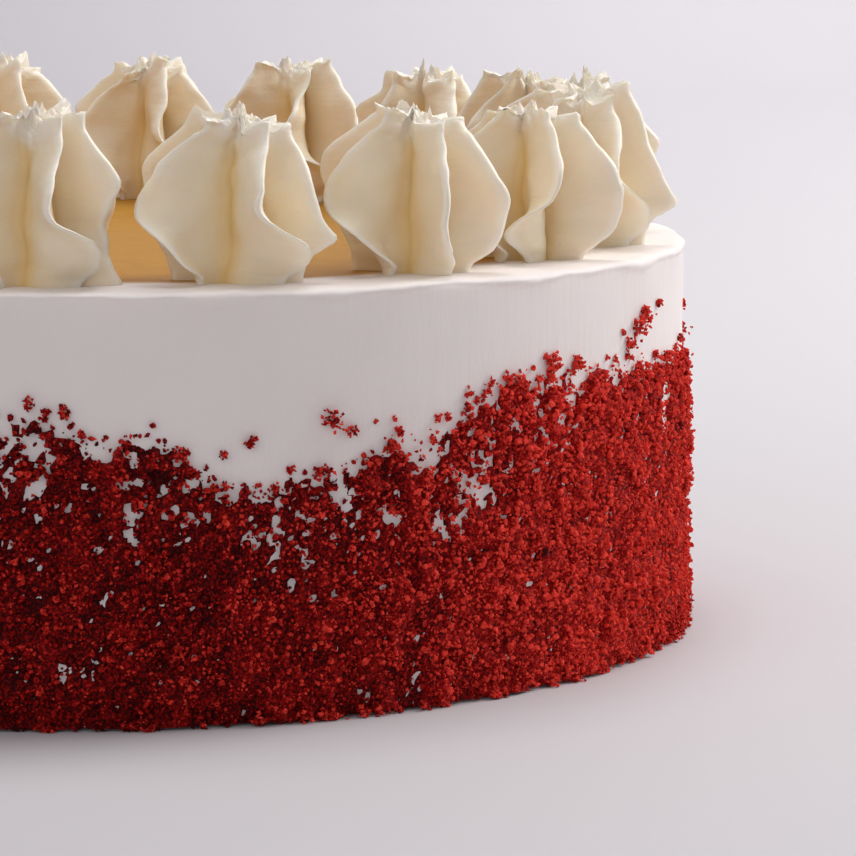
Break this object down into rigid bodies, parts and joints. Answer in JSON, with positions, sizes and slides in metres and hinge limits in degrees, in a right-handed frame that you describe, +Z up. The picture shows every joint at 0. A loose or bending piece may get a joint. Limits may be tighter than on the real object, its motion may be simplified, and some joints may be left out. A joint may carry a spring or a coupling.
{
  "type": "red velvet cake",
  "caption": "Round frosted layer cake with red crumbs pressed round its side and a ring of piped cream swirls on top.",
  "frame": {"origin": "centre of the cake's flat foot, on the surface it stands on", "axes": "+Z up through the middle of the cake; -Y towards the side that shows; +X to that side's right"},
  "size_m": [0.2084, 0.2089, 0.0946],
  "materials": {
    "frosting": "smoothed whipped frosting, satin",
    "swirl_cream": "piped ivory cream, soft satin, translucent at thin edges",
    "crumb": "coarse moist red sponge crumb, matt"
  },
  "bodies": {
    "root": {"cake": "frosting", "swirl_00": "swirl_cream", "swirl_01": "swirl_cream", "swirl_02": "swirl_cream", "swirl_03": "swirl_cream", "swirl_04": "swirl_cream", "swirl_05": "swirl_cream", "swirl_06": "swirl_cream", "swirl_07": "swirl_cream", "swirl_08": "swirl_cream", "swirl_09": "swirl_cream", "swirl_10": "swirl_cream", "swirl_11": "swirl_cream", "swirl_12": "swirl_cream", "swirl_13": "swirl_cream", "swirl_14": "swirl_cream", "swirl_15": "swirl_cream", "swirl_16": "swirl_cream", "swirl_17": "swirl_cream"}
  },
  "joints": []
}
